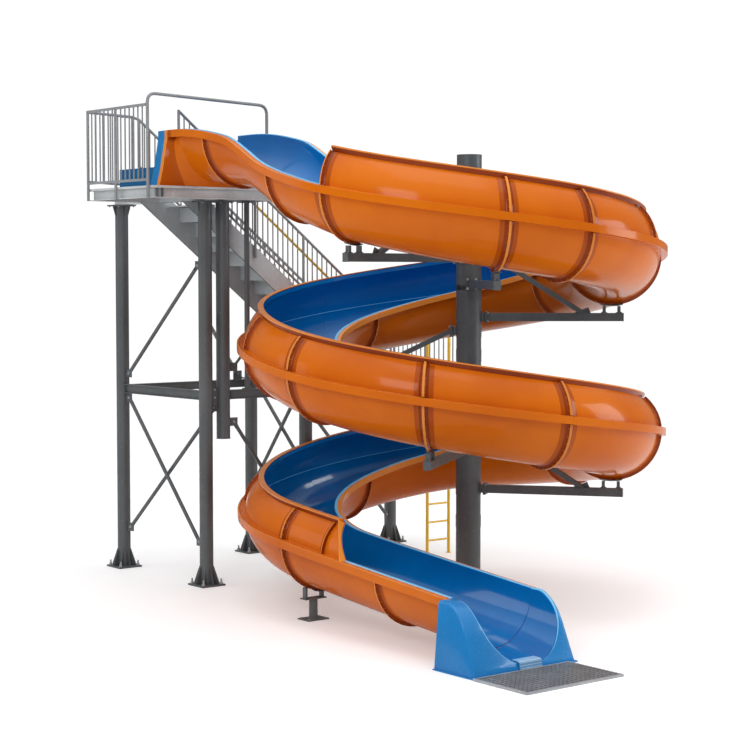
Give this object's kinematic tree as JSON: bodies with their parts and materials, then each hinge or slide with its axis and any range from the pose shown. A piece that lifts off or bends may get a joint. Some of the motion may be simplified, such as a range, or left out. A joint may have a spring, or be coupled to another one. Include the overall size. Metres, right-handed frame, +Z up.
{
  "type": "water slide tower",
  "caption": "Spiral water slide with a half-covered trough winding round a mast, an entry platform on columns, a stair with landing and ladder, and a run-out.",
  "frame": {"origin": "centre of the mast's base plate, on the ground", "axes": "+Z up; the run-out faces -Y and the stair runs down towards +X"},
  "size_m": [5.5856, 9.2103, 6.2097],
  "materials": {
    "shell_orange": "gloss gel coat",
    "liner_blue": "gloss gel coat",
    "frame_steel": "satin paint",
    "rail_yellow": "satin paint",
    "grate_steel": "galvanised"
  },
  "bodies": {
    "root": {"entry_flume": "shell_orange", "turn_section_1": "shell_orange", "turn_section_2": "shell_orange", "turn_section_3": "shell_orange", "turn_section_4": "shell_orange", "turn_section_5": "shell_orange", "turn_section_6": "shell_orange", "turn_section_7": "shell_orange", "turn_section_8": "shell_orange", "turn_section_9": "shell_orange", "turn_section_10": "shell_orange", "exit_section_walled": "shell_orange", "exit_section_open": "shell_orange", "run_out": "liner_blue", "drain_grate": "grate_steel", "column_left_rear": "frame_steel", "column_left_front": "frame_steel", "column_right_rear": "frame_steel", "column_right_front": "frame_steel", "column_landing": "frame_steel", "hanging_post": "frame_steel", "hanger_post": "frame_steel", "mid_beam_left": "frame_steel", "mid_beam_rear": "frame_steel", "mid_beam_front": "frame_steel", "brace_left_upper": "frame_steel", "brace_left_lower": "frame_steel", "brace_right_falling": "frame_steel", "brace_right_rising": "frame_steel", "brace_landing": "frame_steel", "brace_front_low": "frame_steel", "brace_left_cross": "frame_steel", "brace_across": "frame_steel", "hanger_knee": "frame_steel", "deck_frame": "frame_steel", "deck_plate": "frame_steel", "guard_left": "frame_steel", "guard_rear": "frame_steel", "entry_hoop": "frame_steel", "stair_flight": "frame_steel", "landing_deck": "frame_steel", "landing_guard_right": "frame_steel", "landing_guard_rear": "frame_steel", "ladder": "rail_yellow", "stair_guard_near": "frame_steel", "stair_guard_far": "frame_steel", "stair_handrail": "rail_yellow", "start_tub": "liner_blue", "mast": "frame_steel", "arm_upper_right": "frame_steel", "arm_upper_front": "frame_steel", "arm_upper_left": "frame_steel", "arm_upper_back": "frame_steel", "arm_middle_left": "frame_steel", "arm_lower_right": "frame_steel", "arm_lower_front": "frame_steel", "arm_lower_back": "frame_steel", "support_post": "frame_steel"}
  },
  "joints": []
}
